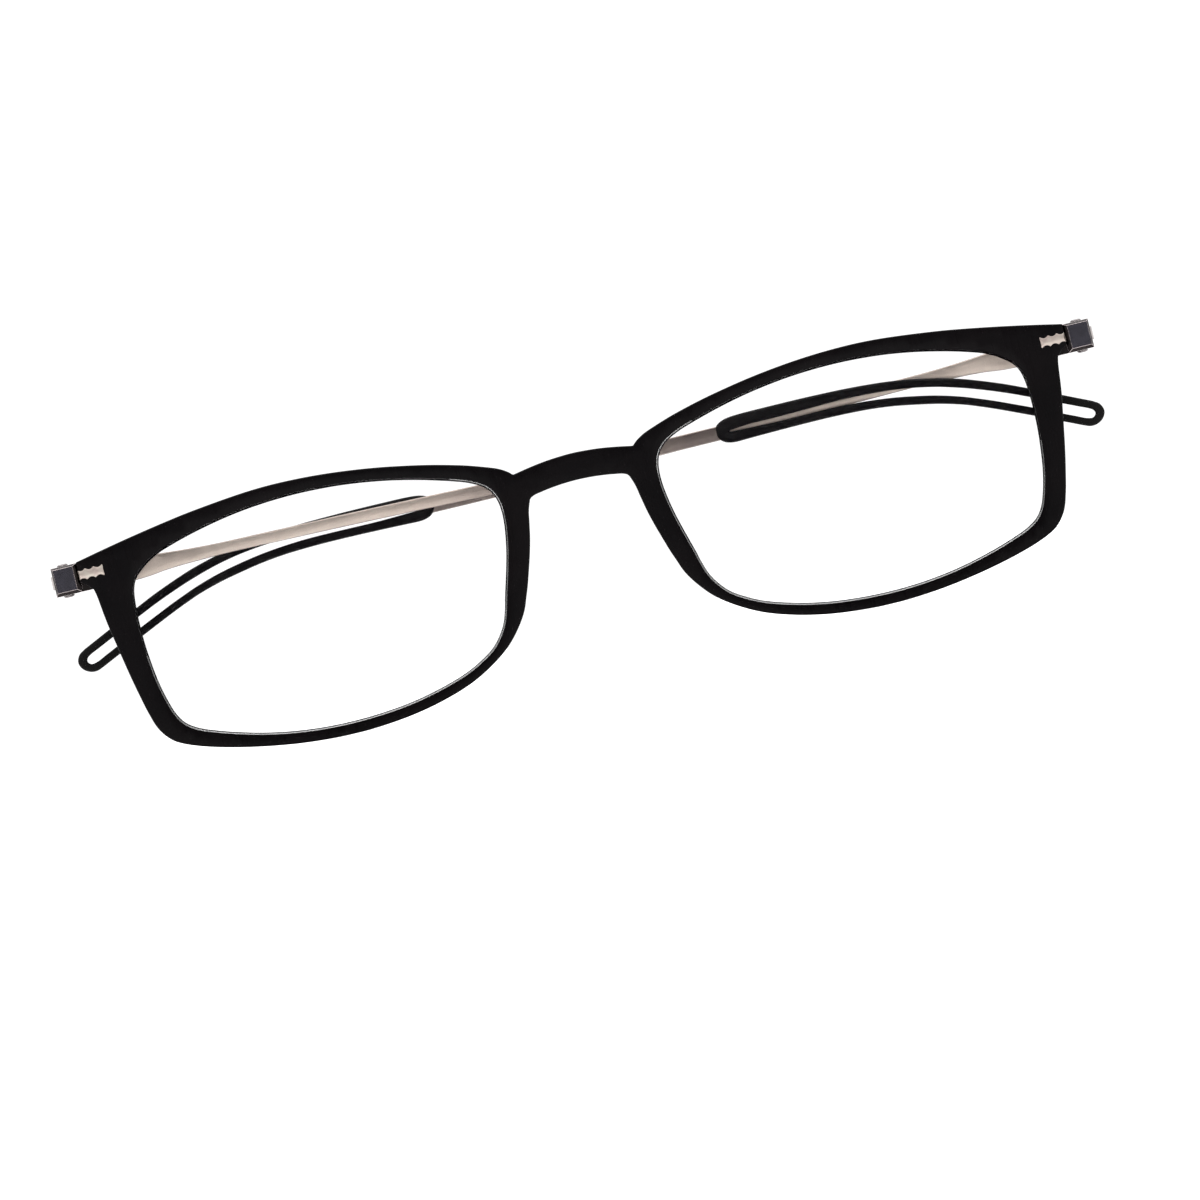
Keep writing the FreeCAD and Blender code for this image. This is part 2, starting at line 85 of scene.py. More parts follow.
ARM_TOP = [(66.7, 1.7), (64, 1.66), (61.5, 1.45), (59.5, 1.15), (57.7, 0.9), (56, 0.68), (54, 0.5),
           (52, 0.36), (49, 0.2), (46, 0.13), (43, 0.1), (40, 0.05), (34, -0.02), (28, -0.12),
           (22, -0.25), (14, -0.42), (6, -0.46), (0, -0.45), (-6, -0.42), (-13, -0.38), (-20.3, -0.37)]
ARM_LOW = [(66.7, -1.72), (64, -2.0), (61.5, -2.08), (59.5, -2.03), (57.7, -1.92), (56, -1.7),
           (54, -1.56), (52, -1.49), (49, -1.42), (46, -1.41), (43, -1.44), (40, -1.5), (34, -1.6),
           (28, -1.72), (22, -1.86), (14, -2.06), (6, -2.18), (0, -2.24), (-6, -2.27), (-13, -2.28),
           (-20.3, -2.25)]
TIP_TOP = [(19.3, -0.62), (19.5, -0.28), (20.0, 0.1), (20.7, 0.36), (21.5, 0.5), (23, 0.59), (25, 0.62), (28, 0.64),
           (31, 0.64), (34, 0.6), (37, 0.52), (40, 0.36), (43, 0.1), (46, -0.32), (49, -0.93),
           (52, -1.7), (54, -2.36), (56, -3.1), (58, -3.89), (60, -4.77), (62.5, -5.9), (65, -7.02),
           (67, -7.94), (68.7, -8.72)]
TIP_NOSE = [(68.7, -8.72), (69.6, -9.35), (69.97, -10.35), (69.55, -11.3), (68.6, -11.88),
            (67.7, -11.93), (66.8, -11.6)]
TIP_LOW = [(66.8, -11.6), (65, -10.78), (62.5, -9.66), (60, -8.54), (58, -7.66), (56, -6.79),
           (54, -5.98), (52, -5.24), (49, -4.4), (46, -3.78), (43, -3.26), (40, -2.93), (37, -2.78),
           (34, -2.72), (31, -2.73), (28, -2.78), (25, -2.85), (23, -2.91), (21.5, -2.94),
           (20.8, -2.85), (20.1, -2.6), (19.6, -2.2), (19.3, -1.72)]
SLOT_TOP = [(21.2, -1.29), (22.2, -1.17), (23.5, -1.07), (25.5, -1.02), (28, -1.0), (31, -0.93), (34, -0.84),
            (37, -0.8), (40, -0.9), (43, -1.12), (46, -1.5), (49, -2.1), (52, -2.94), (54, -3.6),
            (56, -4.33), (58, -5.12), (60, -5.98), (62.5, -7.1), (65, -8.22), (66.9, -9.08),
            (68.1, -9.62)]
SLOT_END = [(68.1, -9.62), (68.6, -9.98), (68.74, -10.45), (68.3, -10.88), (67.5, -10.78)]
SLOT_LOW = [(67.5, -10.78), (66.2, -10.2), (65, -9.66), (62.5, -8.52), (60, -7.4), (58, -6.53), (56, -5.67),
            (54, -4.88), (52, -4.14), (49, -3.26), (46, -2.62), (43, -2.12), (40, -1.8), (37, -1.62),
            (34, -1.58), (31, -1.6), (28, -1.63), (25.5, -1.6), (23.5, -1.54),
            (22.2, -1.5), (21.2, -1.46)]
SLOT_START = [(21.2, -1.46), (20.95, -1.38), (21.2, -1.29)]


# ------------------------------------------------------------------ curve helpers
def dense(points, closed=False, step=0.3):
    """Points at even steps along a smooth curve through the given ones."""
    p = np.array(points, float)
    n = len(p)
    seg = n if closed else n - 1
    out = []
    for i in range(seg):
        if closed:
            p0, p1, p2, p3 = p[i - 1], p[i], p[(i + 1) % n], p[(i + 2) % n]
        else:
            p1, p2 = p[i], p[i + 1]
            p0 = p[i - 1] if i else 2 * p1 - p2
            p3 = p[i + 2] if i + 2 < n else 2 * p2 - p1
        # centripetal spacing keeps uneven points from overshooting
        t0 = 0.0
        t1 = t0 + max(np.linalg.norm(p1 - p0), 1e-6) ** 0.5
        t2 = t1 + max(np.linalg.norm(p2 - p1), 1e-6) ** 0.5
        t3 = t2 + max(np.linalg.norm(p3 - p2), 1e-6) ** 0.5
        for t in np.linspace(t1, t2, 24, endpoint=False):
            a1 = (t1 - t) / (t1 - t0) * p0 + (t - t0) / (t1 - t0) * p1
            a2 = (t2 - t) / (t2 - t1) * p1 + (t - t1) / (t2 - t1) * p2
            a3 = (t3 - t) / (t3 - t2) * p2 + (t - t2) / (t3 - t2) * p3
            b1 = (t2 - t) / (t2 - t0) * a1 + (t - t0) / (t2 - t0) * a2
            b2 = (t3 - t) / (t3 - t1) * a2 + (t - t1) / (t3 - t1) * a3
            out.append((t2 - t) / (t2 - t1) * b1 + (t - t1) / (t2 - t1) * b2)
    out.append(p[0] if closed else p[-1])
    return even(np.array(out), step, closed)


def even(line, step, closed=False):
    length = np.r_[0, np.cumsum(np.linalg.norm(np.diff(line, axis=0), axis=1))]
    k = max(2, int(round(length[-1] / step)) + 1)
    at = np.linspace(0, length[-1], k)
    out = np.c_[np.interp(at, length, line[:, 0]), np.interp(at, length, line[:, 1])]
    return out[:-1] if closed else out


def trim(line, start, end):
    length = np.r_[0, np.cumsum(np.linalg.norm(np.diff(line, axis=0), axis=1))]
    keep = (length > start + 1e-9) & (length < length[-1] - end - 1e-9)
    a = [np.interp(start, length, line[:, i]) for i in (0, 1)]
    b = [np.interp(length[-1] - end, length, line[:, i]) for i in (0, 1)]
    return np.vstack([[a], line[keep], [b]])


def joined(parts):
    """A closed loop from open curves; parts is [(curve, corner length to the next curve)]."""
    out = []
    n = len(parts)
    for i in range(n):
        before, after = parts[i - 1][1], parts[i][1]
        line = trim(parts[i][0], before, after)
        out.append(line)
        if after > 0:
            corner = parts[i][0][-1]
            nxt = trim(parts[(i + 1) % n][0], after, 0)[0]
            t = np.linspace(0, 1, 7)[1:-1, None]
            out.append((1 - t) ** 2 * line[-1] + 2 * t * (1 - t) * corner + t * t * nxt)
    loop = np.vstack(out)
    keep = np.linalg.norm(loop - np.roll(loop, 1, axis=0), axis=1) > 0.012
    return loop[keep]


def area(loop):
    x, z = loop[:, 0], loop[:, 1]
    return 0.5 * np.sum(x * np.roll(z, -1) - z * np.roll(x, -1))


def turned(loop, hole=False):
    """Outer loops counter-clockwise, holes clockwise: the left side is then the material."""
    return loop[::-1].copy() if (area(loop) > 0) == hole else loop


def inward(loop):
    d = np.roll(loop, -1, axis=0) - np.roll(loop, 1, axis=0)
    d /= np.maximum(np.linalg.norm(d, axis=1), 1e-9)[:, None]
    return np.c_[-d[:, 1], d[:, 0]]


def inside(points, loop):
    x, z = points[:, 0][:, None], points[:, 1][:, None]
    a, b = loop, np.roll(loop, -1, axis=0)
    hit = (a[:, 1] > z) != (b[:, 1] > z)
    with np.errstate(divide="ignore", invalid="ignore"):
        cross = (b[:, 0] - a[:, 0]) * (z - a[:, 1]) / (b[:, 1] - a[:, 1]) + a[:, 0]
    return (np.sum(hit & (x < cross), axis=1) % 2) == 1


def fill(loops, grid):
    """Triangles over the region between an outer loop and its holes, with inner points on a grid."""
    pts = np.vstack(loops)
    lo, hi = pts.min(0), pts.max(0)
    gx, gz = np.meshgrid(np.arange(lo[0] + grid / 2, hi[0], grid),
                         np.arange(lo[1] + grid / 2, hi[1], grid))
    gx = gx + (np.arange(gx.shape[0]) % 2)[:, None] * grid / 2
    g = np.c_[gx.ravel(), gz.ravel()]
    ok = inside(g, loops[0])
    for h in loops[1:]:
        ok &= ~inside(g, h)
    g = g[ok]
    if len(g):
        near = np.array([np.min(np.sum((pts - q) ** 2, axis=1)) for q in g])
        g = g[near > (0.55 * grid) ** 2]
    verts = np.vstack([pts, g]) if len(g) else pts
    edges, at = [], 0
    for l in loops:
        k = len(l)
        edges += [(at + i, at + (i + 1) % k) for i in range(k)]
        at += k
    v, e, f, vo, eo, fo = delaunay_2d_cdt([Vector(p) for p in verts], edges, [], 1, 1e-7)
    v2 = np.array([tuple(q) for q in v])
    tris = np.array([t for t in f if len(t) == 3])
    mid = v2[tris].mean(axis=1)
    ok = inside(mid, loops[0])
    for h in loops[1:]:
        ok &= ~inside(mid, h)
    # output vertex -> input vertex
    back = [o[0] if o else -1 for o in vo]
    return verts, [[back[i] for i in t] for t in tris[ok] if min(back[i] for i in t) >= 0]


def plate(name, loops, profiles, place, grid, limits=(), paint={}):
    """A plate between two faces with shaped edges.
    profiles: per loop, [(inset, depth)] from the front face round to the back face.
    limits: (point, reach) pairs near which the edge shaping shrinks to nothing.
    paint: per loop, {step of the profile: material index}."""
    verts, faces, mats = [], [], []
    first, last = [], []
    for loop, profile in zip(loops, profiles):
        nrm = inward(loop)
        scale = np.ones(len(loop))
        for p, reach in limits:
            dist = np.linalg.norm(loop - np.array(p), axis=1)
            scale = np.minimum(scale, np.clip(0.06 + dist / reach, 0, 1))
        base = len(verts)
        k = len(loop)
        for r, (inset, depth) in enumerate(profile):
            ring = loop + nrm * (inset * scale)[:, None]
            # depth of shaped rings eases back to the plain face where the shaping shrinks
            full = depth
            edge = 0.0 if r < len(profile) / 2 else profile[-1][1]
            d = edge + (full - edge) * (scale if abs(full - edge) < 0.9 else np.ones(k))
            for (x, z), dd in zip(ring, np.broadcast_to(d, (k,))):
                verts.append(place(x, z, dd))
            if r == 0:
                first.append((base, ring))
            if r == len(profile) - 1:
                last.append((base + r * k, ring))
        for r in range(len(profile) - 1):
            a, b = base + r * k, base + (r + 1) * k
            for i in range(k):
                j = (i + 1) % k
                faces.append((a + i, a + j, b + j, b + i))
                mats.append(paint.get(len(first) - 1, {}).get(r, 0))
    for group, flip, depth in ((first, False, profiles[0][0][1]), (last, True, profiles[0][-1][1])):
        starts = []
        for s, ring in group:
            starts += list(range(s, s + len(ring)))
        pts, tris = fill([ring for s, ring in group], grid)
        extra = {}
        for i in range(len(starts), len(pts)):
            extra[i] = len(verts)
            verts.append(place(pts[i][0], pts[i][1], depth))
        for t in tris:
            q = [starts[i] if i < len(starts) else extra[i] for i in t]
            faces.append(tuple(q if not flip else q[::-1]))
            mats.append(0)
    return solid(name, verts, faces, mats)


def solid(name, verts, faces, mats):
    me = bpy.data.meshes.new(name)
    me.from_pydata([tuple(c * MM for c in v) for v in verts], [], [tuple(f) for f in faces])
    me.polygons.foreach_set("material_index", mats)
    me.validate()
    bm = bmesh.new()
    bm.from_mesh(me)
    bmesh.ops.remove_doubles(bm, verts=bm.verts, dist=2e-7)
    bmesh.ops.recalc_face_normals(bm, faces=bm.faces)
    bm.to_mesh(me)
    bm.free()
    for p in me.polygons:
        p.use_smooth = True
    ob = bpy.data.objects.new(name, me)
    bpy.context.scene.collection.objects.link(ob)
    return ob


def rounded(r_front, r_back, thick, n=5):
    """Inset and depth of an edge rounded at the front and at the back."""
    out = []
    for i in range(n + 1):
        a = math.pi / 2 * (1 - i / n)
        out.append((r_front * (1 - math.cos(a)), r_front * (1 - math.sin(a))))
    for i in range(n + 1):
        a = math.pi / 2 * i / n
        out.append((r_back * (1 - math.cos(a)), thick - r_back * (1 - math.sin(a))))
    return out


def crease(ob, angle=32):
    """Sharp shading where faces meet at more than an angle."""
    bm = bmesh.new()
    bm.from_mesh(ob.data)
    for e in bm.edges:
        e.smooth = len(e.link_faces) == 2 and e.calc_face_angle(0) < math.radians(angle)
    bm.to_mesh(ob.data)
    bm.free()
    return ob


# ------------------------------------------------------------------ materials
def material(name):
    m = bpy.data.materials.new(name)
    m.use_nodes = True
    nt = m.node_tree
    nt.nodes.clear()
    out = nt.nodes.new("ShaderNodeOutputMaterial")
    bsdf = nt.nodes.new("ShaderNodeBsdfPrincipled")
    nt.links.new(bsdf.outputs[0], out.inputs[0])
    return m, nt, bsdf


def coords(nt, scale=(1, 1, 1), rot=(0, 0, 0)):
    tc = nt.nodes.new("ShaderNodeTexCoord")
    mp = nt.nodes.new("ShaderNodeMapping")
    mp.inputs["Scale"].default_value = scale
    mp.inputs["Rotation"].default_value = rot
    nt.links.new(tc.outputs["Object"], mp.inputs["Vector"])
    return mp.outputs[0]


def noise(nt, vec, scale, detail=3, rough=0.55):
    n = nt.nodes.new("ShaderNodeTexNoise")
    n.inputs["Scale"].default_value = scale
    n.inputs["Detail"].default_value = detail
    n.inputs["Roughness"].default_value = rough
    nt.links.new(vec, n.inputs["Vector"])
    return n.outputs["Fac"]


def ramp(nt, fac, stops):
    r = nt.nodes.new("ShaderNodeValToRGB")
    els = r.color_ramp.elements
    while len(els) < len(stops):
        els.new(0.5)
    for e, (p, c) in zip(els, stops):
        e.position = p
        e.color = c if len(c) == 4 else (*c, 1)
    nt.links.new(fac, r.inputs[0])
    return r.outputs[0]


def ranged(nt, fac, lo, hi, f0=0.3, f1=0.7):
    r = nt.nodes.new("ShaderNodeMapRange")
    r.inputs["From Min"].default_value = f0
    r.inputs["From Max"].default_value = f1
    r.inputs["To Min"].default_value = lo
    r.inputs["To Max"].default_value = hi
    nt.links.new(fac, r.inputs["Value"])
    return r.outputs[0]


def bump(nt, height, strength, distance, bsdf, after=None):
    b = nt.nodes.new("ShaderNodeBump")
    b.inputs["Strength"].default_value = strength
    b.inputs["Distance"].default_value = distance
    nt.links.new(height, b.inputs["Height"])
    if after is not None:
        nt.links.new(after, b.inputs["Normal"])
    nt.links.new(b.outputs[0], bsdf.inputs["Normal"])
    return b.outputs[0]


def grey(v):
    return (v, v, v)


def front_material():
    m, nt, b = material("front_black_plastic")
    b.inputs["Specular IOR Level"].default_value = 0.05
    b.inputs["IOR"].default_value = 1.49
    fine = noise(nt, coords(nt, (1, 1, 1)), 5200, 3)
    cloud = noise(nt, coords(nt, (1, 1, 1)), 160, 4)
    streak = noise(nt, coords(nt, (900, 900, 140), (0, math.radians(28), 0)), 1.0, 4, 0.6)
    nt.links.new(ramp(nt, cloud, [(0.3, (0.0016, 0.0013, 0.0016)), (0.75, (0.0032, 0.0024, 0.0027))]),
                 b.inputs["Base Color"])
    nt.links.new(ranged(nt, streak, 0.24, 0.34), b.inputs["Roughness"])
    n1 = bump(nt, streak, 0.10, 0.00003, b)
    bump(nt, fine, 0.10, 0.00002, b, n1)
    return m


def lip_polish_highlight_material():
    # partly real, partly painted: a glossy coated lip whose lighter base colour is a painted highlight
    m, nt, b = material("front_lip_polish_painted_highlight")
    b.inputs["Specular IOR Level"].default_value = 0.5
    b.inputs["IOR"].default_value = 1.55
    fine = noise(nt, coords(nt), 2400, 2)
    nt.links.new(ramp(nt, fine, [(0.3, (0.006, 0.0055, 0.006)), (0.7, (0.010, 0.009, 0.009))]),
                 b.inputs["Base Color"])
    nt.links.new(ranged(nt, fine, 0.06, 0.12), b.inputs["Roughness"])
    b.inputs["Coat Weight"].default_value = 0.6
    b.inputs["Coat Roughness"].default_value = 0.04
    return m


def lens_material():
    m, nt, b = material("lens_clear")
    b.inputs["Base Color"].default_value = (1, 1, 1, 1)
    b.inputs["Transmission Weight"].default_value = 1.0
    b.inputs["IOR"].default_value = 1.45
    faint = noise(nt, coords(nt), 60, 2)
    nt.links.new(ranged(nt, faint, 0.0, 0.006), b.inputs["Roughness"])
    return m


def arm_material(name):
    m, nt, b = material("arm_champagne_metal_" + name)
    b.inputs["Metallic"].default_value = 0.72
    b.inputs["Specular IOR Level"].default_value = 0.5
    across = noise(nt, coords(nt, (5200, 900, 500)), 1.0, 4, 0.6)
    along = noise(nt, coords(nt, (120, 900, 5200)), 1.0, 4, 0.6)
    cloud = noise(nt, coords(nt), 420, 4)
    mix = nt.nodes.new("ShaderNodeMix")
    mix.data_type = "RGBA"
    mix.inputs["Factor"].default_value = 0.35
    nt.links.new(ramp(nt, across, [(0.25, (0.65, 0.552, 0.488)), (0.75, (0.71, 0.607, 0.538))]),
                 mix.inputs["A"])
    nt.links.new(ramp(nt, cloud, [(0.3, (0.56, 0.475, 0.42)), (0.7, (0.76, 0.66, 0.59))]),
                 mix.inputs["B"])
    # painted shade: the strip's colour runs darker from the middle of the strip to its tip, standing in for the
    # shade that falls there
    tc = nt.nodes.new("ShaderNodeTexCoord")
    sep = nt.nodes.new("ShaderNodeSeparateXYZ")
    nt.links.new(tc.outputs["Object"], sep.inputs[0])
    # painted shade mask along the strip: 0 at its middle, 1 at its tip
    tail = ranged(nt, sep.outputs["X"], 0, 1, -SIDE[name] * -0.034, -SIDE[name] * 0.016)
    tip_shade_mix = nt.nodes.new("ShaderNodeMix")
    tip_shade_mix.data_type, tip_shade_mix.blend_type = "RGBA", "MULTIPLY"
    tip_shade_mix.inputs["Factor"].default_value = 1.0
    nt.links.new(mix.outputs["Result"], tip_shade_mix.inputs["A"])
    nt.links.new(ramp(nt, tail, [(0.0, (0.80, 0.80, 0.79)), (0.25, (0.74, 0.73, 0.72)),
                                 (0.45, (0.44, 0.43, 0.43)), (0.80, (0.40, 0.39, 0.39)),
                                 (1.0, (0.20, 0.19, 0.195))]), tip_shade_mix.inputs["B"])
    nt.links.new(tip_shade_mix.outputs["Result"], b.inputs["Base Color"])
    nt.links.new(ranged(nt, along, 0.34, 0.48), b.inputs["Roughness"])
    n1 = bump(nt, across, 0.06, 0.00002, b)
    bump(nt, along, 0.12, 0.00002, b, n1)
    return m


def metal(name, color, dark, r0, r1, metallic=1.0, grain=2600):
    m, nt, b = material(name)
    b.inputs["Metallic"].default_value = metallic
    cloud = noise(nt, coords(nt), 900, 4)
    fine = noise(nt, coords(nt, (1, 1, 2.5)), grain, 3)
    nt.links.new(ramp(nt, cloud, [(0.3, dark), (0.7, color)]), b.inputs["Base Color"])
    nt.links.new(ranged(nt, fine, r0, r1), b.inputs["Roughness"])
    bump(nt, fine, 0.03, 0.000004, b)
    return m


def rubber_material():
    m, nt, b = material("tip_black_rubber")
    b.inputs["Specular IOR Level"].default_value = 0.09
    fine = noise(nt, coords(nt), 6500, 3)
    cloud = noise(nt, coords(nt), 240, 3)
    nt.links.new(ramp(nt, cloud, [(0.3, (0.0022, 0.0020, 0.0020)), (0.7, (0.0036, 0.0031, 0.0030))]),
                 b.inputs["Base Color"])
    nt.links.new(ranged(nt, fine, 0.62, 0.76), b.inputs["Roughness"])
    bump(nt, fine, 0.22, 0.00003, b)
    return m


def plastic_material():
    m, nt, b = material("washer_plastic")
    fine = noise(nt, coords(nt), 3000, 3)
    nt.links.new(ramp(nt, fine, [(0.3, (0.62, 0.60, 0.55)), (0.7, (0.74, 0.72, 0.67))]),
                 b.inputs["Base Color"])
    nt.links.new(ranged(nt, fine, 0.4, 0.55), b.inputs["Roughness"])
    return m


M_FRONT = front_material()
M_LIP_HIGHLIGHT = lip_polish_highlight_material()
M_LENS = lens_material()
M_ARM = {side: arm_material(side) for side in ("left", "right")}
M_TIP = rubber_material()
M_BLOCK = metal("hinge_navy_polish", (0.078, 0.075, 0.092), (0.062, 0.060, 0.072), 0.14, 0.18, 1.0, 20000)
M_BAND = metal("hinge_dark_bevel", (0.024, 0.021, 0.020), (0.015, 0.013, 0.013), 0.16, 0.22, 1.0, 20000)
M_LINE = metal("hinge_edge_line", (0.46, 0.40, 0.40), (0.36, 0.32, 0.32), 0.14, 0.20, 1.0, 20000)
# painted shade: a darker metal on the strip's rounded edges, standing in for the shade along them
M_EDGE_SHADE = metal("arm_edge_painted_shade", (0.30, 0.245, 0.215), (0.20, 0.165, 0.15), 0.32, 0.45, 0.8)
M_PIN = metal("pin_polish", (0.20, 0.18, 0.18), (0.13, 0.12, 0.12), 0.12, 0.20, 1.0, 20000)
M_KNUCKLE = metal("knuckle_polish", (0.52, 0.47, 0.45), (0.34, 0.31, 0.31), 0.12, 0.22, 1.0, 12000)
M_TONGUE = metal("tongue_champagne", (0.42, 0.385, 0.335), (0.36, 0.285, 0.26), 0.34, 0.44, 0.7)
M_WASHER = plastic_material()


def dress(ob, mat, slot_name, *more):
    ids = [p.material_index for p in ob.data.polygons]
    ob.data.materials.clear()
    for m in (mat, *more):
        ob.data.materials.append(m)
    ob.data.polygons.foreach_set("material_index", ids)
    return ob


# ------------------------------------------------------------------ front
def face_y(x, depth):
    return R_FACE - math.sqrt((R_FACE - depth) ** 2 - x * x) - MID


def at_front(x, z, depth):
    return (x, face_y(x, depth), z + ZC)


def mirrored(points):
    return [(-x, z) for x, z in points]


def front():
    st = 0.32
    top = dense(mirrored(BRIDGE_TOP[:0:-1]) + BRIDGE_TOP, step=st)
    rim = dense(RIM_TOP, step=st)
    end = even(np.array([(67.2, 2.12), (67.2, -0.5)]), 0.2)
    cut = even(np.array([(67.2, -0.5), (65.72, -1.87)]), 0.2)
    side = dense(TEMPORAL, step=st)
    low = dense(BRIDGE_LOW + mirrored(BRIDGE_LOW[-2::-1]), step=st)
    flip = lambda c: (c * [-1, 1])[::-1]
    outer = joined([(top, 0.16), (rim, 0.04), (end, 0.05), (cut, 0.12), (side, 0.32), (low, 0.32),
                    (flip(side), 0.12), (flip(cut), 0.05), (flip(end), 0.04), (flip(rim), 0.16)])
    outer = turned(outer)
    right = turned(dense(OPENING, True, st), True)
    left = turned(dense(mirrored(OPENING)[::-1], True, st), True)
    shape = rounded(0.22, 0.42, T_FRONT, 6)
    # the opening: a steep polished lip, the groove that holds the lens, and the lip behind it
    lip = [(0.30, 0.0), (0.262, 0.012), (0.24, 0.05), (0.14, 0.26), (0.16, 0.28), (0.42, 0.28),
           (0.42, 1.96), (0.0, 1.97), (-0.03, 2.0), (-0.03, 2.18), (0.02, 2.32), (0.12, 2.4)]
    # painted highlight: the steep lip steps carry the lighter glossy lip material where the lip catches the light
    lip_highlight_steps = {1: 1, 2: 1}
    limits = []
    for s in (-1, 1):
        for p in ((67.2, 2.12), (67.2, -0.5), (65.72, -1.87)):
            limits.append(((s * p[0], p[1]), 0.9))
    ob = plate("front_shell", [outer, right, left], [shape, lip, lip], at_front, 1.1, limits,
               {1: lip_highlight_steps, 2: lip_highlight_steps})
    for p in ob.data.polygons:  # painted shade: round the outer top corner the lip takes the plain front finish, where it faces away from the light
        if p.material_index == 1 and abs(p.center.x) / MM > 16.5 and p.center.z / MM - ZC > -12:
            p.material_index = 0
    dress(crease(ob, 40), M_FRONT, "front_plastic", M_LIP_HIGHLIGHT)
    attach(ob, "front")
    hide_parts("front_frame")
    return ob


def lens(name):
    s = SIDE[name]
    loop = dense(OPENING if s > 0 else mirrored(OPENING)[::-1], True, 0.45)
    loop = turned(loop)
    loop = loop - inward(loop) * 0.30
    cx, cz = s * 36.0, -11.4

    def place(x, z, depth):
        u = ((x - cx) / 30.0) ** 2 + ((z - cz) / 22.0) ** 2
        dome = 0.30 / (1 + 1.6 * u * u)
        if depth < 0.5:
            d = LENS_DEPTH + 0.06 - dome + depth
        else:
            d = LENS_DEPTH + LENS_THICK - 0.06 - 0.8 * dome - (1 - depth)
        return (x, face_y(x, 0) + d, z + ZC)

    # depth 0 is the front face and 1 the back face; the edge carries a low ridge
    prof = [(0.10, 0.0), (0.03, 0.03), (0.0, 0.12), (0.0, 0.88), (0.03, 0.97), (0.10, 1.0)]
    ob = plate("lens_" + name + "_glass", [loop], [prof], place, 1.2)
    dress(crease(ob, 15), M_LENS, "lens_clear")
    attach(ob, "front")
    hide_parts("lens_" + name)
    return ob


def tongue(name):
    s = SIDE[name]
    up = []
    for k in range(0, 67):
        x = 67.2 - 3.3 * k / 66
        t = ((x - 63.9) / 1.15) % 1.0 * 2 - 1
        up.append((x, 0.34 + 0.50 + 0.235 * min(t * t, 0.86) / 0.86))
    nose = [(63.81, 0.95), (63.84, 0.65), (63.86, 0.34), (63.84, 0.03), (63.81, -0.27)]
    low = [(x, 0.68 - z) for x, z in reversed(up)]
    loop = np.array(up + nose + low) * [s, 1]
    loop = turned(loop)
    prof = [(0.045, -0.035), (0.018, -0.02), (0.0, 0.01), (0.0, 0.48), (0.02, 0.5)]
    ob = plate("tongue_" + name, [loop], [prof], at_front, 0.4)
    dress(crease(ob, 50), M_TONGUE, "tongue_metal")
    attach(ob, "front")
    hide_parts("hinge_tongue_" + name)
    return ob


# ------------------------------------------------------------------ hinges
def hull(bm, pts):
    vs = [bm.verts.new([c * MM for c in p]) for p in pts]
    bmesh.ops.convex_hull(bm, input=vs)


def loft(bm, rings):
    """Closed rings of equal count joined and capped."""
    rows = [[bm.verts.new([c * MM for c in p]) for p in ring] for ring in rings]
    k = len(rows[0])
    for a, b in zip(rows, rows[1:]):
        for i in range(k):
            bm.faces.new((a[i], a[(i + 1) % k], b[(i + 1) % k], b[i]))
    bm.faces.new(rows[0][::-1])
    bm.faces.new(rows[-1])


def from_bm(name, bm):
    bmesh.ops.recalc_face_normals(bm, faces=bm.faces)
    me = bpy.data.meshes.new(name)
    bm.to_mesh(me)
    bm.free()
    ob = bpy.data.objects.new(name, me)
    bpy.context.scene.collection.objects.link(ob)
    return ob


def united(name, parts, soften=0.05, segments=3):
    """One solid from several, with small rounded edges."""
    base = parts[0]
    for other in parts[1:]:
        mod = base.modifiers.new("join", "BOOLEAN")
        mod.operation, mod.solver, mod.object = "UNION", "EXACT", other
    dg = bpy.context.evaluated_depsgraph_get()
    me = bpy.data.meshes.new_from_object(base.evaluated_get(dg))
    me.name = name
    for p in parts:
        old = p.data
        bpy.data.objects.remove(p)
        bpy.data.meshes.remove(old)
    bm = bmesh.new()
    bm.from_mesh(me)
    bmesh.ops.remove_doubles(bm, verts=bm.verts, dist=2e-7)
    bmesh.ops.dissolve_limit(bm, angle_limit=math.radians(2), verts=bm.verts, edges=bm.edges)
    bm.to_mesh(me)
    bm.free()
    ob = bpy.data.objects.new(name, me)
    bpy.context.scene.collection.objects.link(ob)
    for p in me.polygons:
        p.use_smooth = True
    bev = ob.modifiers.new("soften", "BEVEL")
    bev.width, bev.segments, bev.limit_method = soften * MM, segments, "ANGLE"
    bev.angle_limit = math.radians(24)
    bev.harden_normals = True
    return ob


def arc(cx, cy, r, a0, a1, n):
    return [(cx + r * math.cos(math.radians(a0 + (a1 - a0) * i / n)),
             cy + r * math.sin(math.radians(a0 + (a1 - a0) * i / n))) for i in range(n + 1)]


def prism(name, outline, z0, z1):
    """A solid from an outline in the XY plane between two heights."""
    bm = bmesh.new()
    loft(bm, [[(x, y, z0) for x, y in outline], [(x, y, z1) for x, y in outline]])
    return from_bm(name, bm)


